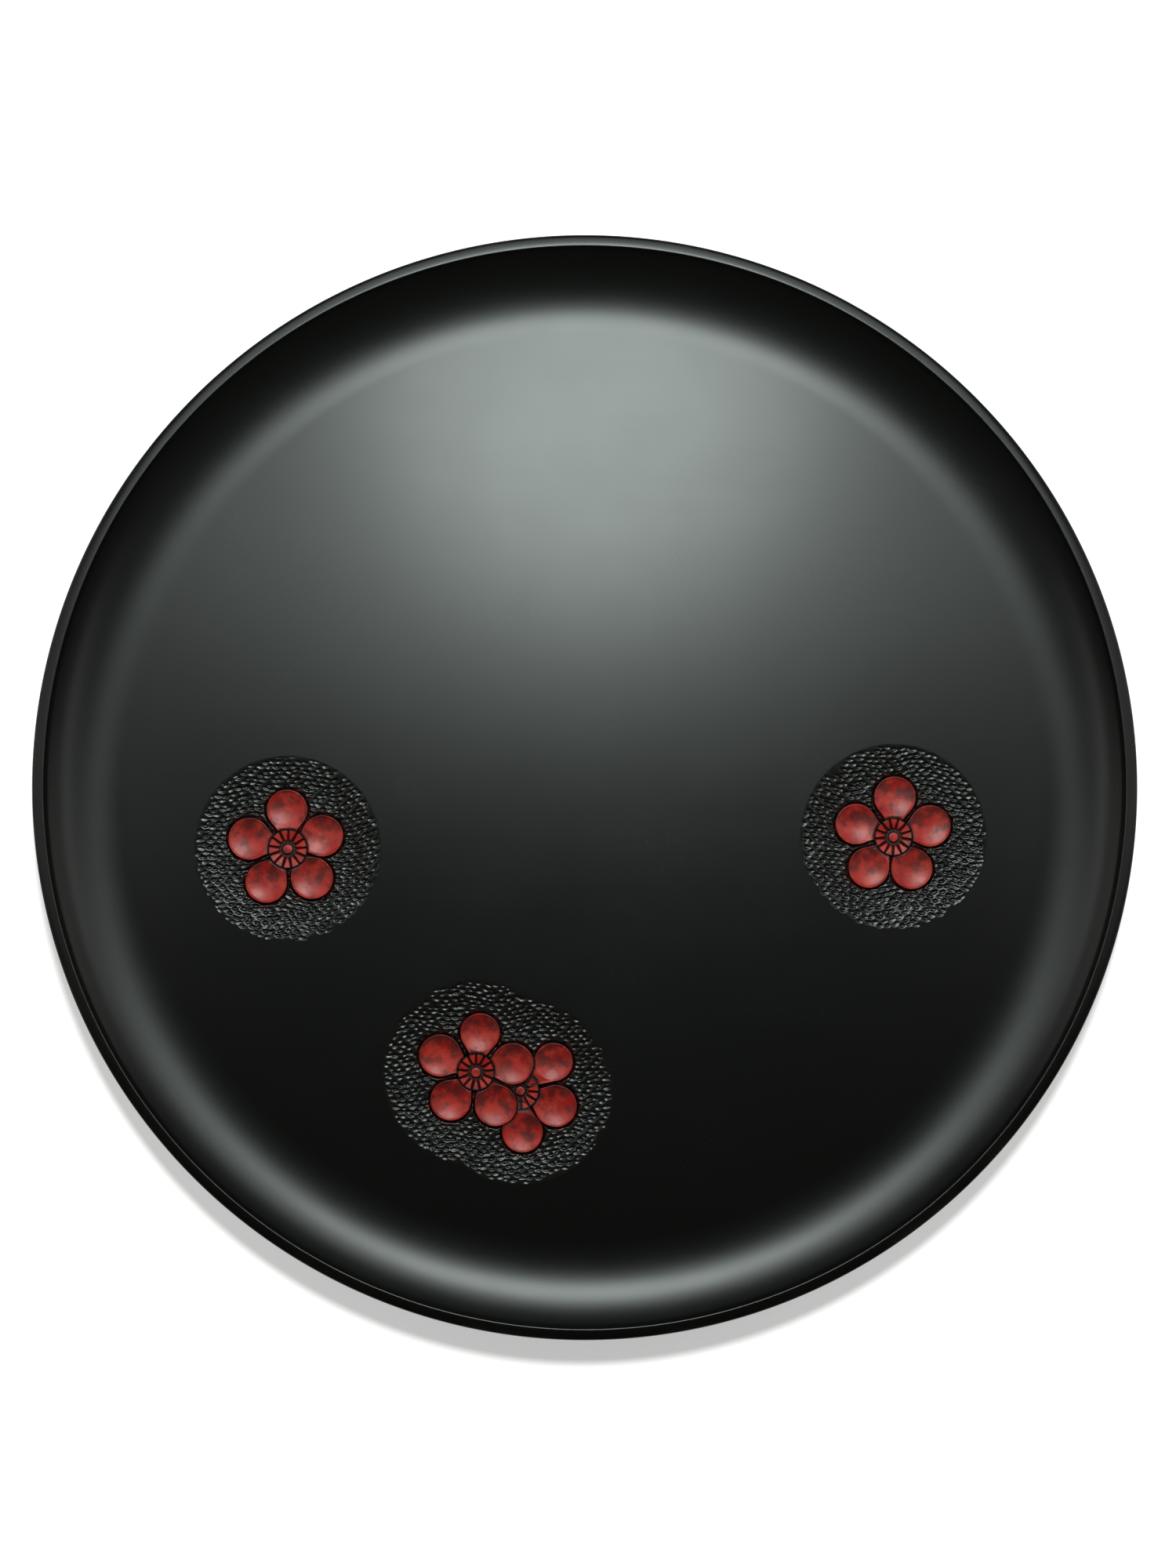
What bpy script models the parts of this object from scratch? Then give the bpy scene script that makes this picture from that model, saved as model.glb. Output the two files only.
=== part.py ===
"""Round serving tray, turned from one wooden blank and carved with plum blossoms.

Metres, +Z up. The origin is the centre of the underside, in the plane that the foot ring stands on.
+Y points to the plain side of the tray, away from the pair of blossoms.
The blank and each red relief left standing in its carved beds are separate objects.
"""

import math

import bmesh
import bpy
from mathutils import Matrix, Vector

# Turned blank
OUTER_RADIUS = 0.150
LIP_WIDTH = 0.0034
LIP_FALL = 0.0004  # the lip's outer edge is this much lower than its inner edge
LIP_INNER_ROUND = 0.0006
LIP_OUTER_ROUND = 0.0011
COVE_WIDTH = 0.0226  # from the flat floor out to the lip
WELL_DEPTH = 0.009  # from the lip's crest down to the floor
FLOOR_THICKNESS = 0.008
FOOT_HEIGHT = 0.003
FOOT_WIDTH = 0.007
FOOT_INSET = 0.032  # from the tray's outermost edge to the foot ring's outer wall
FOOT_SHOULDER = 0.004  # flat underside between the foot ring and the rising outer wall
FOOT_ROUND = 0.0008

# Carved beds
BED_RADIUS = 0.0255
BED_DEPTH = 0.0012
BED_SLOPE_WIDTH = 0.0098  # the bed runs down over this ring, then stays level round the blossom
POCKET_DEPTH = 0.0022  # from the floor's surface down to the seat of a relief
RELIEF_GAP = 0.0003  # the knife line between a relief and everything round it

# Reliefs, whose tops lie just under the floor's surface
PETAL_SINK = 0.00015
PETAL_RIM_WIDTH = 0.0007
PETAL_DISH = 0.0003
PETAL_NECK_CORE = 0.0003  # a petal's sides close in to this, and its rim on both sides of it
PETAL_NECK_REACH = 0.0033  # from the wheel's middle, so the neck is under the wheel
WHEEL_SINK = 0.00025
WHEEL_GROOVES = 13
WHEEL_GROOVE_WIDTH = 0.0004
WHEEL_RIM_WIDTH = 0.0004
WHEEL_RIM_FALL = 0.0001
PISTIL_SINK = 0.0002
PISTIL_ROUND_WIDTH = 0.0004
PISTIL_ROUND_HEIGHT = 0.0001

# Where each blossom lies: the degrees anticlockwise from +X, and the plain floor left outside its bed
PLACES = {"left": (191.7, 0.0157), "right": (350.9, 0.0131), "front": (249.1, 0.0153)}
BACK_FROM_FRONT = (0.0121, -0.0051)
WHEEL_RADIUS = {"left": 0.0053, "right": 0.0051, "front": 0.0050, "back": 0.0051}
PISTIL_RADIUS = {"left": 0.0014, "right": 0.0014, "front": 0.0014, "back": 0.0013}

# Each petal: its name, its direction in degrees, its centre's distance from the wheel's, its radius
PETALS = {
    "left": (
        ("top", 91, 0.0107, 0.0056),
        ("right", 21, 0.0101, 0.0057),
        ("left", 165, 0.0108, 0.0058),
        ("lower_left", 237, 0.0108, 0.0057),
        ("lower_right", 310, 0.0103, 0.0058),
    ),
    "right": (
        ("top", 88, 0.0109, 0.0057),
        ("right", 17, 0.0104, 0.0057),
        ("left", 161, 0.0108, 0.0056),
        ("lower_left", 231, 0.0107, 0.0056),
        ("lower_right", 300, 0.0099, 0.0057),
    ),
    "front": (
        ("top", 84, 0.0108, 0.0054),
        ("right", 13, 0.0103, 0.0057),
        ("left", 155, 0.0108, 0.0058),
        ("lower_left", 228, 0.0103, 0.0056),
        ("lower_right", 301, 0.0105, 0.0058),
    ),
    "back": (
        ("upper_right", 41, 0.0120, 0.0053),
        ("right", 337, 0.0105, 0.0058),
        ("lower", 273, 0.0113, 0.0056),
    ),
}

# How round things are divided
BLANK_STEPS = 72
COVE_STEPS = 8
ROUND_STEPS = 2
BED_SIDES = 48
PETAL_SIDES = 20
NECK_SIDES = 4
WHEEL_SIDES = 32
PISTIL_SIDES = 16
CUT_CLEAR = 0.002  # how far a cutter stands out of the floor

# Worked out from the sizes above
floor_top = FOOT_HEIGHT + FLOOR_THICKNESS
lip_top = floor_top + WELL_DEPTH
floor_radius = OUTER_RADIUS - LIP_WIDTH - COVE_WIDTH
seat = floor_top - POCKET_DEPTH
neck_radius = PETAL_RIM_WIDTH + PETAL_NECK_CORE


def polar(degrees, length):
    turn = math.radians(degrees)
    return Vector((length * math.cos(turn), length * math.sin(turn)))


def new_collection(name, parent):
    collection = bpy.data.collections.new(name)
    parent.children.link(collection)
    return collection


def lacquer(name, color, roughness):
    material = bpy.data.materials.new(name)
    material.use_nodes = True
    shader = material.node_tree.nodes["Principled BSDF"]
    shader.inputs["Base Color"].default_value = (*color, 1.0)
    shader.inputs["Roughness"].default_value = roughness
    shader.inputs["Metallic"].default_value = 0.0
    return material


def add_object(name, mesh, collection):
    obj = bpy.data.objects.new(name, mesh)
    collection.objects.link(obj)
    return obj


def add_piece(name, mesh, material):
    mesh.materials.append(material)
    piece = add_object(name, mesh, pieces)
    mesh.shade_smooth()
    mesh.set_sharp_from_angle(angle=math.radians(35))
    return piece


def add_cutter(name, mesh, collection):
    cutter = add_object(name, mesh, collection)
    cutter.hide_render = True
    cutter.display_type = "WIRE"
    return cutter


def cut(piece, cutter):
    boolean = piece.modifiers.new("cut " + cutter.name, "BOOLEAN")
    boolean.operation = "DIFFERENCE"
    boolean.solver = "EXACT"
    boolean.object = cutter


def arc(center, radius, start, end, steps):
    """Points (r, z) of an arc, from start to end in degrees."""
    turns = [start + (end - start) * i / steps for i in range(steps + 1)]
    return [Vector(center) + polar(turn, radius) for turn in turns]


def rise_arc(r, z, width, height, steps):
    """Points of the hollow arc that leaves the level at (r, z) and climbs height over width."""
    sweep = 2 * math.atan2(height, width)
    radius = width / math.sin(sweep)
    return arc((r, z + radius), radius, -90, -90 + math.degrees(sweep), steps)


def blank_profile():
    """The blank's section, from the middle of the floor outwards, over the lip and back under the foot."""
    lip_inner = OUTER_RADIUS - LIP_WIDTH
    lip_crest = (lip_inner + LIP_INNER_ROUND, lip_top - LIP_INNER_ROUND)
    lip_edge = (OUTER_RADIUS - LIP_OUTER_ROUND, lip_top - LIP_FALL - LIP_OUTER_ROUND)
    cove = rise_arc(floor_radius, floor_top, COVE_WIDTH, WELL_DEPTH - LIP_INNER_ROUND, COVE_STEPS)
    foot_outer = OUTER_RADIUS - FOOT_INSET
    foot_inner = foot_outer - FOOT_WIDTH
    wall_start = foot_outer + FOOT_SHOULDER
    wall = rise_arc(
        wall_start,
        FOOT_HEIGHT,
        OUTER_RADIUS - wall_start,
        lip_edge[1] - FOOT_HEIGHT,
        COVE_STEPS,
    )
    points = [Vector((0.0, floor_top))]
    points += cove[:-1]
    points += arc(lip_crest, LIP_INNER_ROUND, 150, 90, ROUND_STEPS)
    points += arc(lip_edge, LIP_OUTER_ROUND, 85, 0, ROUND_STEPS)
    points += wall[-2::-1]
    points += [Vector((foot_outer, FOOT_HEIGHT))]
    points += arc((foot_outer - FOOT_ROUND, FOOT_ROUND), FOOT_ROUND, 0, -90, ROUND_STEPS)
    points += arc((foot_inner + FOOT_ROUND, FOOT_ROUND), FOOT_ROUND, -90, -180, ROUND_STEPS)
    points += [Vector((foot_inner, FOOT_HEIGHT)), Vector((0.0, FOOT_HEIGHT))]
    return points


def turned_blank():
    points = blank_profile()
    edges = [(i, i + 1) for i in range(len(points) - 1)]
    mesh = bpy.data.meshes.new("tray_body")
    mesh.from_pydata([(p.x, 0.0, p.y) for p in points], edges, [])
    blank = add_piece("tray_body", mesh, black_lacquer)
    screw = blank.modifiers.new("turn on the lathe", "SCREW")
    screw.axis = "Z"
    screw.steps = BLANK_STEPS
    screw.render_steps = BLANK_STEPS
    screw.use_merge_vertices = True
    screw.merge_threshold = 1e-5
    screw.use_smooth_shade = True
    flats = blank.modifiers.new("flat faces in one piece", "DECIMATE")
    flats.decimate_type = "DISSOLVE"
    flats.angle_limit = math.radians(0.5)
    return blank


def circle(center, radius, sides):
    return [center + polar(360 * i / sides, radius) for i in range(sides)]


def petal_outline(middle, degrees, reach, radius, grow):
    """A round petal whose sides close in towards the wheel's middle, grown on every side by grow."""
    tip = middle + polar(degrees, reach)
    neck = middle + polar(degrees, PETAL_NECK_REACH)
    spread = reach - PETAL_NECK_REACH
    lean = math.degrees(math.acos((radius - neck_radius) / spread))
    back = degrees + 180
    around_tip = arc(tip, radius + grow, degrees - 180 + lean, back - lean, PETAL_SIDES)
    return around_tip + arc(neck, neck_radius + grow, back - lean, back + lean, NECK_SIDES)


def block(name, outline, bottom, top, rim=0.0, rise=0.0):
    """An outline made solid between two heights. Its top is inset by rim and moved up by rise."""
    bm = bmesh.new()
    face = bm.faces.new([bm.verts.new((p.x, p.y, bottom)) for p in outline])
    grown = bmesh.ops.extrude_face_region(bm, geom=[face], use_keep_orig=True)["geom"]
    upper = [item for item in grown if isinstance(item, bmesh.types.BMVert)]
    bmesh.ops.translate(bm, verts=upper, vec=(0.0, 0.0, top - bottom))
    bmesh.ops.recalc_face_normals(bm, faces=bm.faces)
    if rim:
        lid = [item for item in grown if isinstance(item, bmesh.types.BMFace)]
        bmesh.ops.inset_region(bm, faces=lid, thickness=rim, depth=rise)
    mesh = bpy.data.meshes.new(name)
    bm.to_mesh(mesh)
    bm.free()
    return mesh


def bed_cutter(name, middle):
    """A flat-bottomed bowl, as wide as the bed at the floor's surface."""
    slope = BED_SLOPE_WIDTH / BED_DEPTH
    bm = bmesh.new()
    bmesh.ops.create_cone(
        bm,
        cap_ends=True,
        segments=BED_SIDES,
        radius1=BED_RADIUS - BED_SLOPE_WIDTH,
        radius2=BED_RADIUS + slope * CUT_CLEAR,
        depth=BED_DEPTH + CUT_CLEAR,
        matrix=Matrix.Translation((middle.x, middle.y, floor_top + (CUT_CLEAR - BED_DEPTH) / 2)),
    )
    mesh = bpy.data.meshes.new(name)
    bm.to_mesh(mesh)
    bm.free()
    return add_cutter(name, mesh, blank_cutters)


def groove_cutter(name, middle, wheel_radius, pistil_radius, top):
    """Square bars laid on edge like spokes, from near the pistil out past the wheel's edge."""
    start = pistil_radius + 2 * RELIEF_GAP + WHEEL_GROOVE_WIDTH
    end = wheel_radius + RELIEF_GAP
    side = WHEEL_GROOVE_WIDTH / math.sqrt(2)
    bm = bmesh.new()
    for i in range(WHEEL_GROOVES):
        bar = Matrix.Diagonal((end - start, side, side, 1.0))
        on_edge = Matrix.Rotation(math.radians(45), 4, "X")
        out = Matrix.Translation(((start + end) / 2, 0.0, 0.0))
        turn = Matrix.Rotation(math.tau * (i + 0.5) / WHEEL_GROOVES, 4, "Z")
        place = Matrix.Translation((middle.x, middle.y, top))
        bmesh.ops.create_cube(bm, size=1.0, matrix=place @ turn @ out @ on_edge @ bar)
    mesh = bpy.data.meshes.new(name)
    bm.to_mesh(mesh)
    bm.free()
    return add_cutter(name, mesh, cutters)


def relief(name, outline, grown_outline, reach, sink, rim, rise):
    """One red relief with its pocket in the blank. Reliefs made before it lie over it and cut it back."""
    piece = add_piece(
        name, block(name, outline, seat + RELIEF_GAP, floor_top - sink, rim, rise), red_lacquer
    )
    for upper, (upper_middle, upper_reach) in standing.items():
        middle, length = reach
        if (upper_middle - middle).length < length + upper_reach:
            cut(piece, upper)
    pocket_mesh = block(name + " pocket", grown_outline, seat, floor_top + CUT_CLEAR)
    standing[add_cutter(name + " pocket", pocket_mesh, blank_cutters)] = reach
    return piece


def blossom(name, middle):
    """A pistil in a grooved stamen wheel, with the petals round them."""
    pistil, wheel = PISTIL_RADIUS[name], WHEEL_RADIUS[name]
    relief(
        name + "_blossom_pistil",
        circle(middle, pistil, PISTIL_SIDES),
        circle(middle, pistil + RELIEF_GAP, PISTIL_SIDES),
        (middle, pistil + RELIEF_GAP),
        PISTIL_SINK + PISTIL_ROUND_HEIGHT,
        PISTIL_ROUND_WIDTH,
        PISTIL_ROUND_HEIGHT,
    )
    stamen_wheel = relief(
        name + "_blossom_stamen_wheel",
        circle(middle, wheel, WHEEL_SIDES),
        circle(middle, wheel + RELIEF_GAP, WHEEL_SIDES),
        (middle, wheel + RELIEF_GAP),
        WHEEL_SINK + WHEEL_RIM_FALL,
        WHEEL_RIM_WIDTH,
        WHEEL_RIM_FALL,
    )
    grooves = groove_cutter(name + " grooves", middle, wheel, pistil, floor_top - WHEEL_SINK)
    cut(stamen_wheel, grooves)
    for side, degrees, reach, radius in PETALS[name]:
        relief(
            name + "_blossom_petal_" + side,
            petal_outline(middle, degrees, reach, radius, 0.0),
            petal_outline(middle, degrees, reach, radius, RELIEF_GAP),
            (middle + polar(degrees, reach), reach + RELIEF_GAP),
            PETAL_SINK,
            PETAL_RIM_WIDTH,
            -PETAL_DISH,
        )


for old in list(bpy.data.objects):
    bpy.data.objects.remove(old, do_unlink=True)

pieces = new_collection("serving_tray", bpy.context.scene.collection)
cutters = new_collection("cutters", bpy.context.scene.collection)
blank_cutters = new_collection("cutters of the blank", cutters)
black_lacquer = lacquer("black lacquer", (0.012, 0.013, 0.011), 0.35)
red_lacquer = lacquer("red lacquer", (0.38, 0.035, 0.025), 0.40)

middles = {
    name: polar(degrees, floor_radius - BED_RADIUS - plain)
    for name, (degrees, plain) in PLACES.items()
}
middles["back"] = middles["front"] + Vector(BACK_FROM_FRONT)

standing = {}  # each relief's pocket, with the middle and the radius of the circle that holds it
for name, middle in middles.items():
    bed_cutter(name + " bed", middle)
    blossom(name, middle)

carving = turned_blank().modifiers.new("carve beds and pockets", "BOOLEAN")
carving.operation = "DIFFERENCE"
carving.solver = "EXACT"
carving.operand_type = "COLLECTION"
carving.collection = blank_cutters
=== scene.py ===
import math

import bpy
import numpy as np
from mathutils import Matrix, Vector


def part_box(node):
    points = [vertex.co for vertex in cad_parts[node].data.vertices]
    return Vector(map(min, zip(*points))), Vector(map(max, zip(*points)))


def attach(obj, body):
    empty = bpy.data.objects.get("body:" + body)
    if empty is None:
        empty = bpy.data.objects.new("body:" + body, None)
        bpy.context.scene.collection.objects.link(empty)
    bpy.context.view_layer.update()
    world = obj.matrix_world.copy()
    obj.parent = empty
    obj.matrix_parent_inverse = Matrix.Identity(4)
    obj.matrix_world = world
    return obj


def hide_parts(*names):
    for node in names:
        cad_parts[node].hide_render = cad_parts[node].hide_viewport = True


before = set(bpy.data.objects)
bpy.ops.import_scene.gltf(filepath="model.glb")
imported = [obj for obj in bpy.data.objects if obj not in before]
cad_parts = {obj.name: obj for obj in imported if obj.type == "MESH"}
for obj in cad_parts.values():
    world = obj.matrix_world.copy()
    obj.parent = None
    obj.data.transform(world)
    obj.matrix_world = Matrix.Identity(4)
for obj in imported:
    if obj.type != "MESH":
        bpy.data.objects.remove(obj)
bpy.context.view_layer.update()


# The turned blank
# One round of dry wood, turned on a lathe: a flat floor, a hollow cove up to a narrow lip, and a foot ring
# beneath. It is sealed, coated all over with thin coats of black lacquer, and rubbed down to a satin.

LIP_WIDTH = 0.0034
LIP_CROWN = 0.0098  # radius of the lip's rounded top, level at its inner edge
LIP_INNER_ROUND = 0.0007
LIP_INNER_TURN = 155  # where the lip's inner round meets the cove, in degrees
LIP_OUTER_ROUND = 0.0008
FOOT_ROUND = 0.0008
BLANK_STEPS = 384
COVE_STEPS = 40
WALL_STEPS = 24
ROUND_STEPS = 10
MERGE = 1e-5
LEVEL = 1e-6  # points nearer than this in height lie on one level


def node_points(node):
    return [vertex.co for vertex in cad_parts[node].data.vertices]


body_points = node_points("tray_body")
rim_radius, lip_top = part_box("tray_body")[1].x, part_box("tray_body")[1].z
floor_top = max(p.z for p in body_points if p.xy.length < 0.8 * rim_radius)
floor_radius = max(p.xy.length for p in body_points if abs(p.z - floor_top) < LEVEL)
foot_ground = [p.xy.length for p in body_points if p.z < LEVEL]
foot_inner, foot_outer = min(foot_ground) - FOOT_ROUND, max(foot_ground) + FOOT_ROUND
foot_height = max(p.z for p in body_points if abs(p.xy.length - foot_inner) < LEVEL)
wall_start = max(p.xy.length for p in body_points if abs(p.z - foot_height) < LEVEL)


def arc(center, radius, start, end, steps):
    """Points (r, z) of an arc, from start to end in degrees."""
    turns = [math.radians(start + (end - start) * i / steps) for i in range(steps + 1)]
    return [(center[0] + radius * math.cos(t), center[1] + radius * math.sin(t)) for t in turns]


def rise_arc(r, z, width, height, steps):
    """Points of the hollow arc that leaves the level at (r, z) and climbs height over width."""
    sweep = 2 * math.atan2(height, width)
    radius = width / math.sin(sweep)
    return arc((r, z + radius), radius, -90, math.degrees(sweep) - 90, steps)


def blank_profile():
    """The blank's section, from the middle of the underside out over the lip and back to the middle."""
    lip_inner = rim_radius - LIP_WIDTH
    crest = (lip_inner + LIP_INNER_ROUND, lip_top - LIP_INNER_ROUND)
    slope = math.asin((rim_radius - LIP_OUTER_ROUND - crest[0]) / (LIP_CROWN - LIP_OUTER_ROUND))
    drop = LIP_CROWN - (LIP_CROWN - LIP_OUTER_ROUND) * math.cos(slope)
    edge = (rim_radius - LIP_OUTER_ROUND, lip_top - drop)
    crown_start = 90 - math.degrees(slope)
    cove = rise_arc(floor_radius, floor_top, lip_inner - floor_radius, crest[1] - floor_top, COVE_STEPS)
    wall = rise_arc(wall_start, foot_height, rim_radius - wall_start, edge[1] - foot_height, WALL_STEPS)
    points = [(0.0, foot_height), (foot_inner, foot_height)]
    points += arc((foot_inner + FOOT_ROUND, FOOT_ROUND), FOOT_ROUND, 180, 270, ROUND_STEPS)
    points += arc((foot_outer - FOOT_ROUND, FOOT_ROUND), FOOT_ROUND, 270, 360, ROUND_STEPS)
    points += [(foot_outer, foot_height)]
    points += wall[:-1]
    points += arc(edge, LIP_OUTER_ROUND, 0, crown_start, ROUND_STEPS)[:-1]
    points += arc((crest[0], lip_top - LIP_CROWN), LIP_CROWN, crown_start, 90, ROUND_STEPS)[:-1]
    points += arc(crest, LIP_INNER_ROUND, 90, LIP_INNER_TURN, ROUND_STEPS)
    points += cove[-2::-1]
    points += [(0.0, floor_top)]
    return points


def turned(name, profile, steps):
    """A section of (radius, height) points, drawn point by point and spun round the tray's axis."""
    bpy.ops.object.select_all(action="DESELECT")
    bpy.ops.mesh.primitive_plane_add(size=0.001, location=(profile[0][0], 0.0, profile[0][1]))
    piece = bpy.context.object
    piece.name = piece.data.name = name
    bpy.ops.object.transform_apply(location=True, rotation=False, scale=False)
    bpy.ops.object.mode_set(mode="EDIT")
    bpy.ops.mesh.merge(type="CENTER")
    for (r, z), (next_r, next_z) in zip(profile, profile[1:]):
        bpy.ops.mesh.extrude_vertices_move(
            TRANSFORM_OT_translate={"value": (next_r - r, 0.0, next_z - z)}
        )
    bpy.ops.mesh.select_all(action="SELECT")
    bpy.ops.mesh.spin(steps=steps, angle=math.tau, center=(0.0, 0.0, 0.0), axis=(0.0, 0.0, 1.0))
    bpy.ops.mesh.select_all(action="SELECT")
    bpy.ops.mesh.remove_doubles(threshold=MERGE)
    bpy.ops.mesh.normals_make_consistent(inside=False)
    bpy.ops.object.mode_set(mode="OBJECT")
    return piece


def pick(piece):
    """Selects one piece alone."""
    bpy.ops.object.select_all(action="DESELECT")
    piece.select_set(True)
    bpy.context.view_layer.objects.active = piece


def smooth(piece, degrees):
    pick(piece)
    bpy.ops.object.shade_smooth_by_angle(angle=math.radians(degrees))


def cut(piece, cutter):
    """Takes the cutter's shape out of the piece."""
    pick(piece)
    boolean = piece.modifiers.new("cut", "BOOLEAN")
    boolean.operation = "DIFFERENCE"
    boolean.solver = "EXACT"
    boolean.object = cutter
    bpy.ops.object.modifier_apply(modifier=boolean.name)


class Socket:
    """One output of a node in a material. Arithmetic on it adds Math nodes to that material."""

    def __init__(self, tree, output=None):
        self.tree = tree
        self.output = output

    def feed(self, node, inputs):
        """Sets a node's sockets, each to a value or to a link."""
        for name, value in inputs.items():
            if isinstance(value, Socket):
                self.tree.links.new(value.output, node.inputs[name])
            else:
                node.inputs[name].default_value = value

    def node(self, kind, settings=None, inputs=None, result=0):
        """Adds a node, its settings first and then its sockets, and returns one of its outputs."""
        made = self.tree.nodes.new(kind)
        for name, value in (settings or {}).items():
            setattr(made, name, value)
        self.feed(made, inputs or {})
        return Socket(self.tree, made.outputs[result])

    def math(self, operation, first, second=0.0):
        return self.node("ShaderNodeMath", {"operation": operation}, {0: first, 1: second})

    def __add__(self, other):
        return self.math("ADD", self, other)

    def __radd__(self, other):
        return self.math("ADD", other, self)

    def __sub__(self, other):
        return self.math("SUBTRACT", self, other)

    def __rsub__(self, other):
        return self.math("SUBTRACT", other, self)

    def __mul__(self, other):
        return self.math("MULTIPLY", self, other)

    def __rmul__(self, other):
        return self.math("MULTIPLY", other, self)

    def vector(self, operation, other=(0.0, 0.0, 0.0), result=0):
        return self.node("ShaderNodeVectorMath", {"operation": operation}, {0: self, 1: other}, result)

    def noise(self, scale, detail=2.0, roughness=0.5):
        return self.node(
            "ShaderNodeTexNoise",
            inputs={"Vector": self, "Scale": scale, "Detail": detail, "Roughness": roughness},
        )

    def step(self, low, high):
        """0 below low, 1 above high, and smooth between them."""
        return self.node(
            "ShaderNodeMapRange",
            {"interpolation_type": "SMOOTHSTEP"},
            {"Value": self, "From Min": low, "From Max": high},
        )

    def mix(self, first, second):
        """The first colour where this is 0, the second where it is 1."""
        return self.node("ShaderNodeMix", {"data_type": "RGBA"}, {0: self, 6: first, 7: second}, 2)

    def attribute(self, name):
        """A number stored at the vertices of the piece."""
        return self.node("ShaderNodeAttribute", {"attribute_name": name}, result="Fac")

    def bump(self):
        """The normal of a surface that rises by this many metres."""
        return self.node("ShaderNodeBump", inputs={"Strength": 1.0, "Distance": 1.0, "Height": self})


def new_finish(name):
    """A material, its shader, and the place on the piece as a socket."""
    material = bpy.data.materials.new(name)
    material.use_nodes = True
    shader = material.node_tree.nodes["Principled BSDF"]
    place = Socket(material.node_tree).node("ShaderNodeTexCoord", result="Object")
    return material, shader, place


BLACK = (0.0014, 0.0016, 0.0013, 1.0)
WORN_BLACK = (0.0060, 0.0052, 0.0042, 1.0)
SATIN = 0.265  # roughness of the rubbed lacquer
GRAIN_HEIGHT = 0.0000030
SWELL_HEIGHT = 0.00004


def rubbed_black():
    """Satin black lacquer: fine grain, faint streaks along the turning and from side to side, a worn lip."""
    material, shader, place = new_finish("rubbed_black_lacquer")
    across = place.vector("MULTIPLY", (1.0, 1.0, 0.0))
    radius = across.vector("LENGTH", result="Value")
    around = across.vector("NORMALIZE")
    turning = radius.node("ShaderNodeCombineXYZ", inputs={"Z": radius * 60.0}).vector("ADD", around)
    streak = turning.noise(22.0, 4.0, 0.6)
    grain = place.noise(900.0, 1.0, 0.5)
    brushed = place.vector("MULTIPLY", (0.07, 1.0, 1.0)).noise(150.0, 2.0, 0.5)
    swell = place.noise(26.0, 2.0, 0.5)
    smudge = place.noise(55.0, 4.0, 0.55)
    lip = radius.step(rim_radius - 0.8 * LIP_WIDTH, rim_radius)
    wear = lip * smudge.step(0.45, 0.75)
    height = grain * GRAIN_HEIGHT + swell * SWELL_HEIGHT
    place.feed(
        shader,
        {
            "Base Color": wear.mix(BLACK, WORN_BLACK),
            "Roughness": SATIN
            + (smudge - 0.5) * 0.04
            + (streak - 0.5) * 0.01
            + (brushed - 0.5) * 0.02
            - lip * 0.03,
            "Normal": height.bump(),
        },
    )
    return material


blank = turned("turned_blank", blank_profile(), BLANK_STEPS)
blank.data.materials.append(rubbed_black())


# The carved beds
# The carver sinks a shallow saucer round each blossom and dots it with small overlapping gouge cuts, laid in
# staggered rows. Black lacquer coats the ground; the reliefs stand in it, with a knife line round each. Its
# ridges are painted lighter and its pits and knife lines darker: painted light and painted shade.

BED_RADIUS = 0.0255
BED_DEPTH = 0.0012
BED_SLOPE_WIDTH = 0.0098
BED_BASE = 0.0035  # from the floor's surface down to the underside of a bed's block
BED_STEPS = 640
BED_RINGS = 104
BED_CARVED = 0.82  # the outer share of a bed's radius, divided by the rings
BED_PLAIN_SHARES = [0.12, 0.06, 0.0]  # under the blossom, where nothing shows
ROW_PITCH = 0.00122
ROW_SWAY = 0.0006
ROW_RIPPLE = 0.0004
ROW_DRIFT = 0.22  # how far a mark strays from its row, as a share of the pitch
MARK_PITCH = 0.0023
MARK_DRIFT = 0.23  # and along its row
MARK_LENGTH = 0.00112  # from a mark's middle to its end
MARK_WIDTH = 0.00060
MARK_DEPTH = 0.00035
MARK_TURN = 0.34
LENGTH_SPREAD = 0.22
WIDTH_SPREAD = 0.20
DEPTH_SPREAD = 0.45
MARK_TABLE = 96  # how many rows, and marks in a row, before the same ones come again
MARK_SEED = 11
EDGE_SCATTER = 0.0015  # marks start anywhere within this from the bed's edge
MARK_START = 0.0006  # the width over which a single mark begins
EDGE_SLOPE = 0.0005  # and over which all of them begin at the bed's edge
KNIFE_WIDTH = 0.00080
KNIFE_DEPTH = 0.00070
RELIEF_GAP = 0.0003
RELIEF_BASE = 0.0020  # from the floor's surface down to the underside of a relief
RELIEF_OVERLAP = 0.0001  # how far the sunk ground under a relief reaches past its outline
RED_SPREAD = 0.0022  # how far red strays on to the ground beside a petal
NECK_REACH = 0.0033
NECK_RADIUS = 0.0010
TIP_NEAR, TIP_FAR = 0.0005, 0.004  # the part of a petal's outline, behind its tip, that gives its radius
# The ground's black: lighter on the ridges as painted light, darker in the pits and knife lines as painted
# shade.
LIT_RIDGE_BLACK = (0.0044, 0.0046, 0.0040, 1.0)
SHADED_HOLLOW_BLACK = (0.0007, 0.0007, 0.0006, 1.0)
STRAY_RED = (0.026, 0.006, 0.005, 1.0)

FIVE = ("top", "right", "left", "lower_left", "lower_right")
SIDES = {"left": FIVE, "right": FIVE, "front": FIVE, "back": ("upper_right", "right", "lower")}
BEDS = {"left": ("left",), "right": ("right",), "front": ("front", "back")}


def middle_of(node):
    low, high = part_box(node)
    return ((low + high) / 2).xy


def radius_of(node, middle):
    return max((p.xy - middle).length for p in node_points(node))


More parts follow.
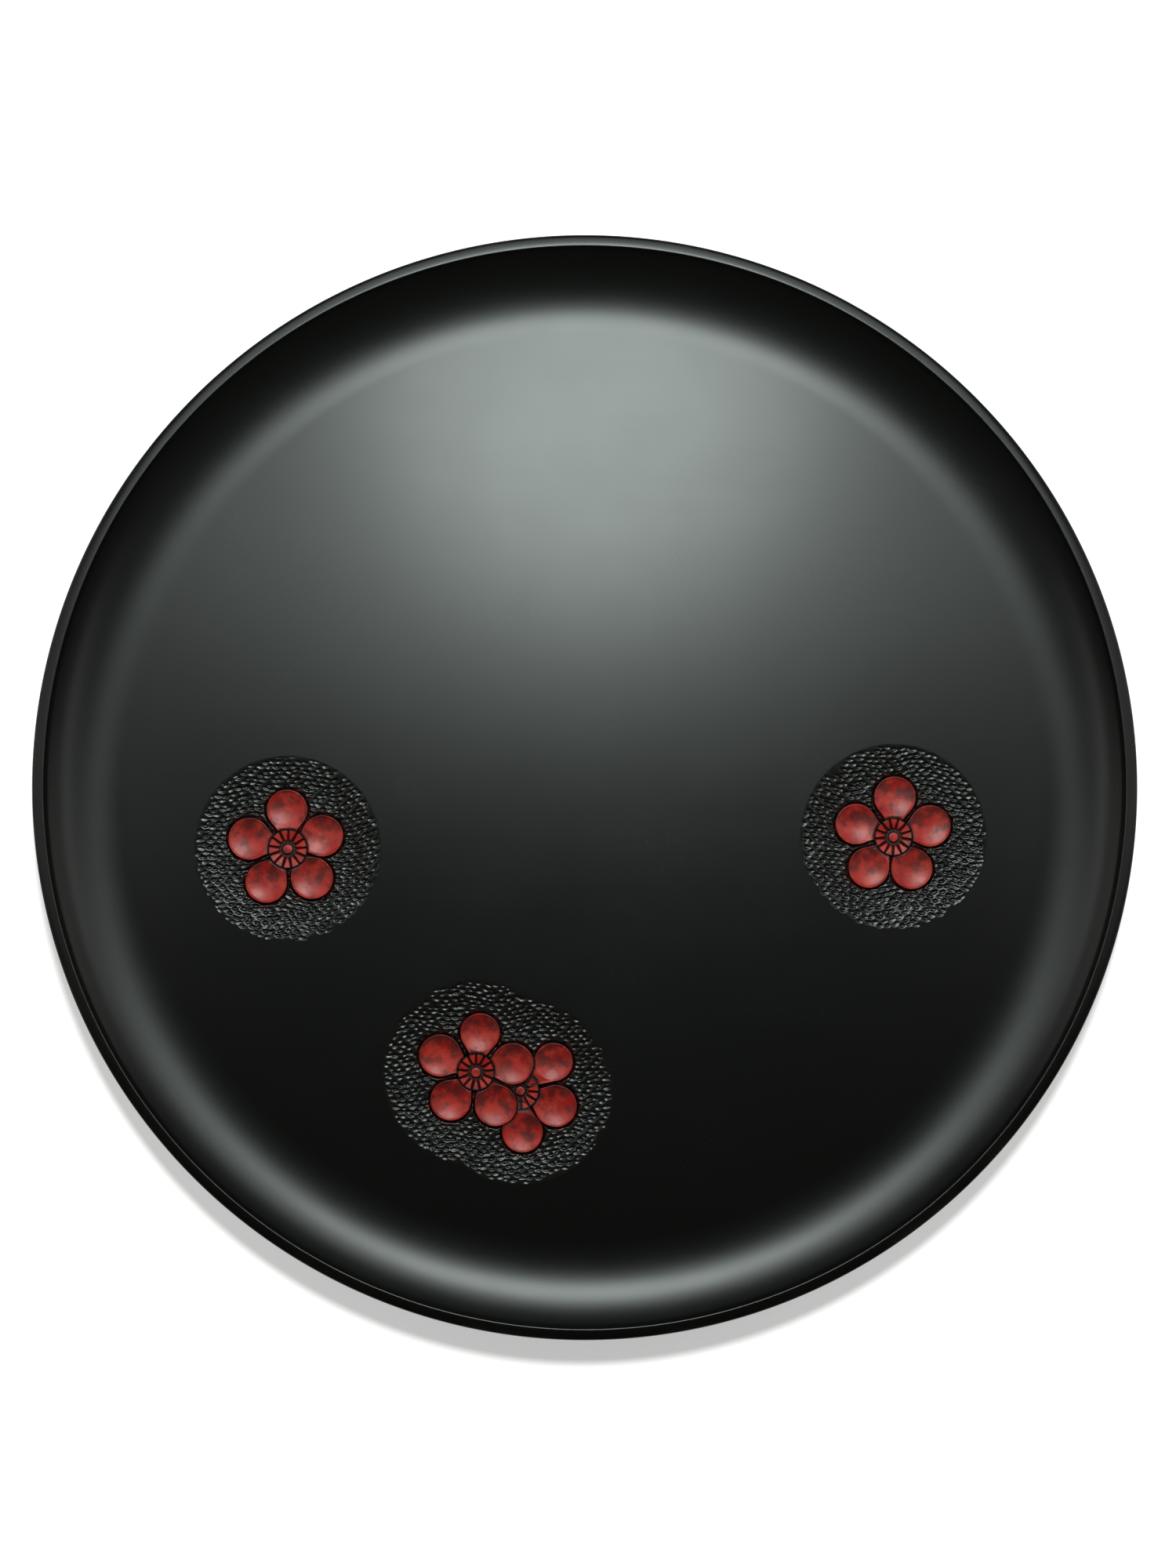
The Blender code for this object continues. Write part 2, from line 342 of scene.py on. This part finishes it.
def petal_place(node, middle):
    """A petal's direction as a unit vector, its round part's middle and radius, from its outermost point."""
    points = [p.xy for p in node_points(node)]
    tip = max(points, key=lambda p: (p - middle).length)
    out = (tip - middle).normalized()
    upper = [p - tip for p in points if TIP_NEAR < (tip - p).dot(out) < TIP_FAR]
    radius = max(v.length_squared / (-2 * v.dot(out)) for v in upper)
    return out, tip - radius * out, radius


middles = {name: middle_of(name + "_blossom_pistil") for name in SIDES}
pistil_radii = {name: radius_of(name + "_blossom_pistil", middles[name]) for name in SIDES}
wheel_radii = {name: radius_of(name + "_blossom_stamen_wheel", middles[name]) for name in SIDES}
petal_places = {
    name: {side: petal_place(f"{name}_blossom_petal_{side}", middles[name]) for side in SIDES[name]}
    for name in SIDES
}


def petal_distance(x, y, middle, place):
    """How far points lie outside a petal's outline, below zero inside it."""
    out, center, radius = place
    spread = (center - middle).length - NECK_REACH
    along = -((x - center.x) * out.x + (y - center.y) * out.y)
    aside = abs((x - center.x) * out.y - (y - center.y) * out.x)
    lean = (radius - NECK_RADIUS) / spread
    fall = math.sqrt(1 - lean * lean)
    where = fall * along - lean * aside
    distance = fall * aside + lean * along - radius
    distance = np.where(where < 0, np.hypot(along, aside) - radius, distance)
    return np.where(where > fall * spread, np.hypot(along - spread, aside) - NECK_RADIUS, distance)


def ease(value):
    """0 below 0, 1 above 1, and smooth between them."""
    held = np.clip(value, 0.0, 1.0)
    return held * held * (3 - 2 * held)


def gouge_marks(x, y, inward, seed):
    """How deep the gouge has cut at each point. Inward is how far the point lies inside the bed's edge."""
    chance = np.random.default_rng(seed)
    start = chance.uniform(0, math.tau, 6)
    sway = ROW_SWAY * np.sin(x * 170 + start[0]) + ROW_RIPPLE * np.sin(x * 390 + y * 120 + start[1])
    row_place = (y + sway) / ROW_PITCH
    table = chance.uniform(-1, 1, (MARK_TABLE, MARK_TABLE, 6))
    depth = np.zeros_like(x)
    for row_step in (-1, 0, 1):
        row = np.floor(row_place) + row_step
        for mark_step in (-1, 0, 1):
            stagger = 0.5 * (row % 2)
            mark = np.floor(x / MARK_PITCH - stagger) + mark_step
            dice = table[row.astype(int) % MARK_TABLE, mark.astype(int) % MARK_TABLE]
            off_x = x - (mark + 0.5 + stagger + MARK_DRIFT * dice[:, 0]) * MARK_PITCH
            off_y = (row_place - (row + 0.5 + ROW_DRIFT * dice[:, 1])) * ROW_PITCH
            turn = MARK_TURN * dice[:, 2]
            length = MARK_LENGTH * (1 + LENGTH_SPREAD * dice[:, 3])
            width = MARK_WIDTH * (1 + WIDTH_SPREAD * dice[:, 4])
            u = (off_x * np.cos(turn) + off_y * np.sin(turn)) / length
            v = (off_y * np.cos(turn) - off_x * np.sin(turn)) / width
            starts = EDGE_SCATTER * (0.5 + 0.5 * dice[:, 5]) ** 2
            there = ease((inward - starts) / MARK_START)
            scoop = MARK_DEPTH * (1 + DEPTH_SPREAD * dice[:, 5]) * np.clip(1 - u * u - v * v, 0.0, 1.0)
            depth = np.maximum(depth, scoop * there)
    return depth * ease(inward / EDGE_SLOPE)


def set_values(piece, name, values):
    """Stores a number at each vertex, for the material to read."""
    attribute = piece.data.attributes.new(name, "FLOAT", "POINT")
    attribute.data.foreach_set("value", np.asarray(values, np.float32))


def coordinates(piece):
    flat = np.empty(len(piece.data.vertices) * 3, np.float32)
    piece.data.vertices.foreach_get("co", flat)
    return flat.reshape(-1, 3).astype(float)


def set_coordinates(piece, points):
    piece.data.vertices.foreach_set("co", points.astype(np.float32).ravel())
    piece.data.update()


def block(name, base, shares, steps, top=floor_top):
    """A closed round block of radius 1, its flat top divided by rings at these shares of the radius."""
    return turned(name, [(0.0, base), (1.0, base)] + [(share, top) for share in shares], steps)


def drawn_out(source, name, middle, reach):
    """A copy of a block, moved to middle and drawn out to reach, the outline's radius in each direction."""
    piece = source.copy()
    piece.data = source.data.copy()
    piece.name = piece.data.name = name
    bpy.context.scene.collection.objects.link(piece)
    points = coordinates(piece)
    points[:, :2] *= reach(np.arctan2(points[:, 1], points[:, 0]))[:, None]
    points[:, :2] += middle
    set_coordinates(piece, points)
    return piece


def remove(*helpers):
    for helper in helpers:
        bpy.data.objects.remove(helper)


def bed_reach(middle, centers):
    """The outline of the discs round centers, as a radius in each direction from middle."""

    def reach(turn):
        found = np.zeros_like(turn)
        for center in centers:
            x, y = center[0] - middle[0], center[1] - middle[1]
            along = x * np.cos(turn) + y * np.sin(turn)
            found = np.maximum(found, along + np.sqrt(BED_RADIUS**2 - (x * x + y * y - along**2)))
        return found

    return reach


def knife_ground(x, y, names):
    """How far each point lies outside the nearest relief of these blossoms, below zero under one."""
    nearest = np.ones_like(x)
    for name in names:
        middle = middles[name]
        nearest = np.minimum(nearest, np.hypot(x - middle.x, y - middle.y) - wheel_radii[name])
        for place in petal_places[name].values():
            nearest = np.minimum(nearest, petal_distance(x, y, middle, place))
    return nearest


def dotted_black():
    """The same lacquer in the gouge cuts: glossier, with painted highlight on the ridges and painted shade in
    the pits and knife lines; red smeared on beside the petals.
    """
    material, shader, place = new_finish("dotted_black_lacquer")
    hollow = place.attribute("hollow")
    smear = place.attribute("near_red") * place.noise(420.0, 3.0, 0.6).step(0.42, 0.68)
    height = place.noise(2600.0, 3.0, 0.6) * 0.000004
    place.feed(
        shader,
        {
            "Base Color": smear.mix(hollow.mix(LIT_RIDGE_BLACK, SHADED_HOLLOW_BLACK), STRAY_RED),
            "Roughness": 0.18 + hollow * 0.10 + (place.noise(260.0, 3.0, 0.6) - 0.5) * 0.14,
            "Normal": height.bump(),
        },
    )
    return material


def carved_bed(name, blossoms, seed, material):
    """A block of the blank with its top carved, let into a recess of the same outline."""
    centers = [middles[blossom] for blossom in blossoms]
    middle = sum(centers, Vector((0.0, 0.0))) / len(centers)
    reach = bed_reach(middle, centers)
    bed = drawn_out(bed_block, name, middle, reach)
    recess = drawn_out(recess_block, name + "_recess", middle, reach)
    cut(blank, recess)
    remove(recess)

    points = coordinates(bed)
    top = points[:, 2] > floor_top - MERGE
    x, y = points[top, 0], points[top, 1]
    inward = np.max([BED_RADIUS - np.hypot(x - c[0], y - c[1]) for c in centers], axis=0)
    outside = knife_ground(x, y, blossoms)
    saucer = BED_DEPTH * ease(inward / BED_SLOPE_WIDTH)
    marks = gouge_marks(x, y, inward, seed) * ease(outside / KNIFE_WIDTH + 0.2)
    knife = KNIFE_DEPTH * (1 - np.clip(outside / KNIFE_WIDTH, 0.0, 1.0))
    sunk = floor_top - RELIEF_BASE - RELIEF_GAP
    points[top, 2] = np.where(outside < RELIEF_OVERLAP, sunk, floor_top - saucer - marks - knife)
    set_coordinates(bed, points)

    hollow, near_red = np.ones(len(points)), np.zeros(len(points))
    # hollow: painted shade, darkest in the gouge pits and in the knife line round each relief.
    hollow[top] = np.clip(marks / MARK_DEPTH + 1.4 * knife / KNIFE_DEPTH, 0.0, 1.0)
    near_red[top] = ease(1 - outside / RED_SPREAD)
    set_values(bed, "hollow", hollow)
    set_values(bed, "near_red", near_red)
    bed.data.materials.append(material)
    smooth(bed, degrees=75)
    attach(bed, "root")
    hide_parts("tray_body")


bed_shares = [1 - BED_CARVED * i / BED_RINGS for i in range(BED_RINGS + 1)] + BED_PLAIN_SHARES
bed_block = block("bed_block", floor_top - BED_BASE, bed_shares, BED_STEPS)
recess_block = block("recess_block", floor_top - BED_BASE, (1.0, 0.0), BED_STEPS, lip_top)
bed_finish = dotted_black()
for seed, (name, blossoms) in enumerate(BEDS.items(), MARK_SEED):
    carved_bed(name + "_carved_bed", blossoms, seed, bed_finish)
remove(bed_block, recess_block)

smooth(blank, degrees=30)
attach(blank, "root")
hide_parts("tray_body")


# The petals
# Each petal is left standing in its bed and hollowed with a round gouge to a shallow dish with a fine rim.
# Red lacquer goes over the black, then dark powder is rubbed in and off again, which leaves it mottled.
# Each petal is also painted darker towards its upper side and at its cut edges: painted shade.

PETAL_SINK = 0.00015
PETAL_DISH = 0.00110
PETAL_STEP = 0.00010  # from the rim down to the dish
PETAL_RIM = 0.00042
PETAL_ROUND = 0.00022
PETAL_ROUND_WIDTH = 0.00026
PETAL_TILT = 0.03  # the steepest lean of a petal's dish
PETAL_STEPS = 144
PETAL_RINGS = 34
UPPER_STEPS = 96
RED = (0.205, 0.0055, 0.0036, 1.0)
PALE_RED = (0.275, 0.020, 0.013, 1.0)
# The dark red of the rubbed-in powder, also used for the painted shade on each petal's upper side.
POWDER_AND_SHADE_RED = (0.030, 0.0050, 0.0042, 1.0)
# The black painted into the reliefs' cuts, grooves and edges, and below the reliefs above them: painted
# shade.
SHADED_CUT_BLACK = (0.0030, 0.0014, 0.0012, 1.0)


def petal_reach(middle, place, grow=0.0):
    """A petal's outline, as a radius in each direction from the middle of its round part."""
    out, center, radius = place
    spread = (center - middle).length - NECK_REACH
    back = math.atan2(-out.y, -out.x)
    lean = math.acos((radius - NECK_RADIUS) / spread)
    side, neck = radius + grow, NECK_RADIUS + grow
    neck_turn = math.atan2(neck * math.sin(lean), spread + neck * math.cos(lean))

    def reach(turn):
        aside = abs((turn - back + math.pi) % math.tau - math.pi)
        straight = side / np.cos(np.minimum(abs(aside - lean), 1.4))  # 1.4 holds the cosine above zero
        within = np.clip(neck**2 - (spread * np.sin(aside)) ** 2, 0.0, None)
        rounded = spread * np.cos(aside) + np.sqrt(within)
        return np.where(aside > lean, side, np.where(aside > neck_turn, straight, rounded))

    return reach


def mottled_red():
    """Red lacquer over black, rubbed with dark powder: dark patches, fine rubbing grain, painted shade in the
    cuts and on each petal's upper side.
    """
    material, shader, place = new_finish("mottled_red_lacquer")
    hollow = place.attribute("hollow")
    painted_upper_shade = place.attribute("painted_upper_shade")
    # The patches lean towards each petal's upper side, which is also darkened on its own: painted shade.
    patches = (place.noise(300.0, 5.0, 0.62) + painted_upper_shade * 0.13).step(0.47, 0.71)
    flecks = place.noise(1100.0, 4.0, 0.65).step(0.54, 0.78)
    bloom = place.noise(200.0, 3.0, 0.55).step(0.38, 0.64)
    powder_and_shade = 1 - (1 - patches * 0.82) * (1 - flecks * 0.45) * (1 - painted_upper_shade * 0.18)
    height = place.noise(2200.0, 3.0, 0.6) * 0.000004 + place.noise(330.0, 3.0, 0.6) * 0.000080
    place.feed(
        shader,
        {
            # The hollow attribute paints shade in black over the red.
            "Base Color": hollow.mix(powder_and_shade.mix(bloom.mix(RED, PALE_RED), POWDER_AND_SHADE_RED), SHADED_CUT_BLACK),
            "Roughness": 0.37 + patches * 0.06 + hollow * 0.20,
            "Normal": height.bump(),
        },
    )
    return material


upper_block = block("upper_block", floor_top - 2 * RELIEF_BASE, (1.0, 0.0), UPPER_STEPS, lip_top)

# The reliefs made so far. Each is a middle, the outline grown by the knife's gap, a radius that holds it, and
# the distance of points from the outline itself.
standing = []


def relief_block(name, rings, crowding, steps):
    """A block for reliefs, its rings crowding towards the edge."""
    shares = [1 - (i / rings) ** crowding for i in range(rings + 1)]
    return block(name, floor_top - RELIEF_BASE, shares, steps)


def beside_upper(x, y):
    """How far points lie from the knife lines of the reliefs above them."""
    return np.min([distance(x, y) - RELIEF_GAP for _, _, _, distance in standing] + [np.ones_like(x)], axis=0)


def shade_beside_upper(x, y):
    """How much painted shade, for the cut below the upper reliefs, shows at each point."""
    return ease(1.3 - beside_upper(x, y) / 0.00045)


def cut_by_upper(piece, middle, size):
    """Cuts a relief back where the reliefs above it stand, with the knife line between them."""
    for upper_middle, upper_reach, upper_size, _ in standing:
        if (upper_middle - middle).length < size + upper_size:
            cutter = drawn_out(upper_block, "upper", upper_middle, upper_reach)
            cut(piece, cutter)
            remove(cutter)


def finish_relief(piece, node, material):
    piece.data.materials.append(material)
    smooth(piece, degrees=50)
    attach(piece, "root")
    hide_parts(node)


def carved_petal(node, middle, place, tilt, material):
    out, center, radius = place
    petal = drawn_out(petal_block, node + "_lacquered", center, petal_reach(middle, place))
    points = coordinates(petal)
    top = points[:, 2] > floor_top - MERGE
    x, y = points[top, 0], points[top, 1]
    inside = -petal_distance(x, y, middle, place)
    edge = np.minimum(inside, beside_upper(x, y))
    rounding = PETAL_ROUND * np.sqrt(np.clip(1 - edge / PETAL_ROUND_WIDTH, 0.0, 1.0)) ** 3
    apart = np.hypot(x - center.x, y - center.y) / (radius - PETAL_RIM)
    bowl = PETAL_DISH * (1 - np.clip(apart, 0.0, 1.0) ** 2)
    lift = ease((inside - 0.5 * PETAL_RIM) / PETAL_RIM)
    lean = tilt[0] * (x - center.x) + tilt[1] * (y - center.y)
    points[top, 2] = floor_top - PETAL_SINK - rounding - (bowl + PETAL_STEP) * lift - abs(lean) * lift
    set_coordinates(petal, points)
    hollow, painted_upper_shade = np.ones(len(points)), np.zeros(len(points))
    # Painted shade at the petal's cut edge and below the reliefs above it.
    hollow[top] = np.maximum(ease(1 - inside / 0.00020) * 0.8, shade_beside_upper(x, y))
    # Darker towards the petal's upper side, the side away from the lamp: painted shade.
    painted_upper_shade[top] = ease(0.42 + 0.62 * (y - center.y) / radius)
    set_values(petal, "hollow", hollow)
    set_values(petal, "painted_upper_shade", painted_upper_shade)
    cut_by_upper(petal, center, radius + RELIEF_GAP)
    grown = petal_reach(middle, place, RELIEF_GAP)
    holding = (center - middle).length
    standing.append((center, grown, holding, lambda x, y: petal_distance(x, y, middle, place)))
    finish_relief(petal, node, material)


# The stamen wheels
# Round each pistil the carver leaves a disc and scores it with a V tool into radial stamens, wider towards
# the middle, where a ring is cut down round the pistil. It is lacquered and rubbed like the petals, with
# painted shade in its cuts, round its edge and below the reliefs above it.

STAMENS = 13
WHEEL_SINK = 0.00020
WHEEL_CONE = 0.00038  # the wheel's fall from its rim to the ring round the pistil
WHEEL_ROUND = 0.00018
WHEEL_ROUND_WIDTH = 0.00022
WHEEL_TURN = 0.4  # the most that a wheel is turned, in radians
WHEEL_STEPS = 390
WHEEL_RINGS = 36
WHEEL_FLOOR = 0.0003  # what is left of the wheel under the pistil
STAMEN_CUT_DEPTH = 0.00085
STAMEN_CUT_HALF = 0.00035  # half of a cut's width at the rim
STAMEN_CUT_GROWTH = 0.00020  # what it gains towards the middle
STAMEN_CUT_WAVER = 0.00004
STAMEN_RUN_OUT = 0.00035  # the width over which a cut ends at the rim
PISTIL_RING = 0.00085  # how wide the ring round the pistil is cut
PISTIL_RING_DEPTH = 0.00072
PISTIL_RING_SLOPE = 0.00044
PISTIL_HOLD = 0.0001  # how far the ground under the pistil reaches past its outline


def disc_reach(radius):
    return lambda turn: np.full_like(turn, radius)


def scored_wheel(node, name, turn, material):
    middle, radius, pistil = middles[name], wheel_radii[name], pistil_radii[name]
    wheel = drawn_out(wheel_block, node + "_lacquered", middle, disc_reach(radius))
    points = coordinates(wheel)
    top = points[:, 2] > floor_top - MERGE
    x, y = points[top, 0] - middle.x, points[top, 1] - middle.y
    r = np.hypot(x, y)
    step = math.tau / STAMENS
    off = ((np.arctan2(y, x) - turn) % step) - step / 2
    across = abs(off) * r + STAMEN_CUT_WAVER * np.sin(5 * np.arctan2(y, x) + turn)
    inner = pistil + PISTIL_RING
    inwards = np.clip((radius - r) / (radius - inner), 0.0, 1.0)
    half = STAMEN_CUT_HALF + STAMEN_CUT_GROWTH * inwards
    scored = np.clip(1 - across / half, 0.0, 1.0) * ease((radius - r) / STAMEN_RUN_OUT + 0.15)
    well = ease((inner + PISTIL_RING_SLOPE / 2 - r) / PISTIL_RING_SLOPE)
    rounding = WHEEL_ROUND * np.clip(1 - (radius - r) / WHEEL_ROUND_WIDTH, 0.0, 1.0) ** 2
    cuts = STAMEN_CUT_DEPTH * scored * (1 - well)
    fall = WHEEL_CONE * inwards + rounding + cuts + PISTIL_RING_DEPTH * well
    points[top, 2] = floor_top - WHEEL_SINK - fall
    under = top.copy()
    under[top] = r < pistil + PISTIL_HOLD
    points[under, 2] = floor_top - RELIEF_BASE + WHEEL_FLOOR
    set_coordinates(wheel, points)
    hollow = np.ones(len(points))
    # Painted shade in the stamen cuts, in the ring round the pistil, at the wheel's edge and below the
    # reliefs above it.
    hollow[top] = np.clip(1.3 * scored + 0.95 * well + ease(1.25 - (radius - r) / 0.00042), 0.0, 1.0)
    hollow[top] = np.maximum(hollow[top], shade_beside_upper(points[top, 0], points[top, 1]))
    set_values(wheel, "hollow", hollow)
    cut_by_upper(wheel, middle, radius)
    ring = radius + RELIEF_GAP
    standing.append(
        (middle, disc_reach(ring), ring, lambda x, y: np.hypot(x - middle.x, y - middle.y) - radius)
    )
    finish_relief(wheel, node, material)


# The pistils
# A small round button left standing in the middle of each wheel, its edge eased with the knife. It is red
# lacquer over black, brighter than the stamens, which carry painted shade in their cuts; only its eased edge
# is painted darker, as shade.

PISTIL_SINK = 0.0003
PISTIL_DOME = 0.00012
PISTIL_ROUND = 0.00022
PISTIL_ROUND_WIDTH = 0.0003
PISTIL_BASE = 0.0004  # its underside, above the underside of the wheel
PISTIL_STEPS = 72
PISTIL_RINGS = 14
RELIEF_SEED = 5


def carved_pistil(node, name, material):
    middle, radius = middles[name], pistil_radii[name]
    pistil = drawn_out(pistil_block, node + "_lacquered", middle, disc_reach(radius))
    points = coordinates(pistil)
    top = points[:, 2] > floor_top - MERGE
    r = np.hypot(points[top, 0] - middle.x, points[top, 1] - middle.y)
    rounding = np.clip((r - radius + PISTIL_ROUND_WIDTH) / PISTIL_ROUND_WIDTH, 0.0, 1.0) ** 2
    dome = PISTIL_DOME * (r / radius) ** 2 + PISTIL_ROUND * rounding
    points[top, 2] = floor_top - PISTIL_SINK - dome
    points[~top, 2] = floor_top - RELIEF_BASE + PISTIL_BASE
    set_coordinates(pistil, points)
    hollow = np.ones(len(points))
    # Painted shade at the pistil's eased edge.
    hollow[top] = ease(1 - (radius - r) / 0.00022) * 0.8
    set_values(pistil, "hollow", hollow)
    finish_relief(pistil, node, material)


petal_block = relief_block("petal_block", PETAL_RINGS, crowding=1.7, steps=PETAL_STEPS)
wheel_block = relief_block("wheel_block", WHEEL_RINGS, crowding=1.25, steps=WHEEL_STEPS)
pistil_block = relief_block("pistil_block", PISTIL_RINGS, crowding=1.5, steps=PISTIL_STEPS)
red_finish = mottled_red()
chance = np.random.default_rng(RELIEF_SEED)
for name in SIDES:
    carved_pistil(name + "_blossom_pistil", name, red_finish)
    scored_wheel(name + "_blossom_stamen_wheel", name, chance.uniform(0, WHEEL_TURN), red_finish)
    for side in SIDES[name]:
        tilt = chance.uniform(-PETAL_TILT, PETAL_TILT, 2)
        node = f"{name}_blossom_petal_{side}"
        carved_petal(node, middles[name], petal_places[name][side], tilt, red_finish)
remove(upper_block, petal_block, wheel_block, pistil_block)


# The table and the studio
# A plain white table. A small lamp and its soft shade hang over the tray's plain side, a far key casts the
# shadow on the table, and weak glows and panels stand at both sides. The camera looks straight down.

CAMERA_HEIGHT = 1.4  # above the lip
CAMERA_OFFSET = (0.00091, 0.00098)  # from the tray's axis
VIEW_HEIGHT = 0.4252  # what the picture takes in, at the lip
SENSOR = 36.0
TABLE_SIZE = 16.0
TABLE_GLOW = 0.47
LAMP_HEIGHT = 0.31  # above the tray's floor
LAMP_SIZE = 0.14
SHADE_SIZE = (0.40, 0.28)
LAMP_COLOR = (0.89, 1.0, 0.965)
KEY_COLOR = (1.0, 0.985, 0.97)
KEY_SIZE = 0.44
PANEL_HEIGHT = 0.60  # of the far panels, above the tray's floor
GLOW_COLOR = (0.95, 1.0, 0.96)
PANEL_COLOR = (1.0, 1.0, 0.95)
FILL_COLOR = (1.0, 0.99, 0.90, 1.0)
FILL = 0.03

bpy.ops.object.select_all(action="DESELECT")
bpy.ops.mesh.primitive_plane_add(size=TABLE_SIZE, location=(0.0, 0.0, 0.0))
table = bpy.context.object
table.name = "table"
white, white_shader, white_place = new_finish("white_table")
white_place.feed(
    white_shader,
    {
        "Base Color": white_place.noise(3.0).mix((0.80, 0.80, 0.80, 1.0), (0.82, 0.82, 0.82, 1.0)),
        "Roughness": 0.9,
        "Specular IOR Level": 0.0,
        "Emission Color": (1.0, 1.0, 1.0, 1.0),
        "Emission Strength": TABLE_GLOW,
    },
)
table.data.materials.append(white)


def studio_light(name, place, size, watts, color, glossy=True):
    """A round or oval light that faces straight down."""
    data = bpy.data.lights.new(name, "AREA")
    data.shape = "ELLIPSE"
    data.size, data.size_y = size
    data.energy = watts
    data.color = color
    light = bpy.data.objects.new(name, data)
    bpy.context.scene.collection.objects.link(light)
    light.location = place
    light.visible_glossy = glossy


lamp_level, panel_level = floor_top + LAMP_HEIGHT, floor_top + PANEL_HEIGHT
studio_light("lamp", (0.002, 0.13, lamp_level), (LAMP_SIZE, LAMP_SIZE), watts=0.50, color=LAMP_COLOR)
studio_light("lamp_shade", (0.002, 0.16, lamp_level + 0.002), SHADE_SIZE, watts=0.50, color=LAMP_COLOR)
studio_light("key", (0.10, 1.20, 3.0), (KEY_SIZE, KEY_SIZE), watts=90.0, color=KEY_COLOR, glossy=False)
for side in (-1, 1):
    studio_light("side_glow", (side * 0.24, 0.03, lamp_level), (0.23, 0.19), watts=0.055, color=GLOW_COLOR)
    studio_light("near_panel", (side * 0.60, 0.16, lamp_level), (0.06, 0.45), watts=0.29, color=PANEL_COLOR)
    studio_light("far_panel", (side * 0.67, 0.10, panel_level), (0.10, 0.80), watts=0.36, color=PANEL_COLOR)

world = bpy.data.worlds.new("studio")
world.use_nodes = True
world.node_tree.nodes["Background"].inputs["Color"].default_value = FILL_COLOR
world.node_tree.nodes["Background"].inputs["Strength"].default_value = FILL
bpy.context.scene.world = world
bpy.context.scene.view_settings.view_transform = "Standard"

camera_data = bpy.data.cameras.new("camera")
camera_data.sensor_width = SENSOR
camera_data.lens = SENSOR * CAMERA_HEIGHT / VIEW_HEIGHT
camera = bpy.data.objects.new("camera", camera_data)
bpy.context.scene.collection.objects.link(camera)
camera.location = (*CAMERA_OFFSET, lip_top + CAMERA_HEIGHT)
bpy.context.scene.camera = camera
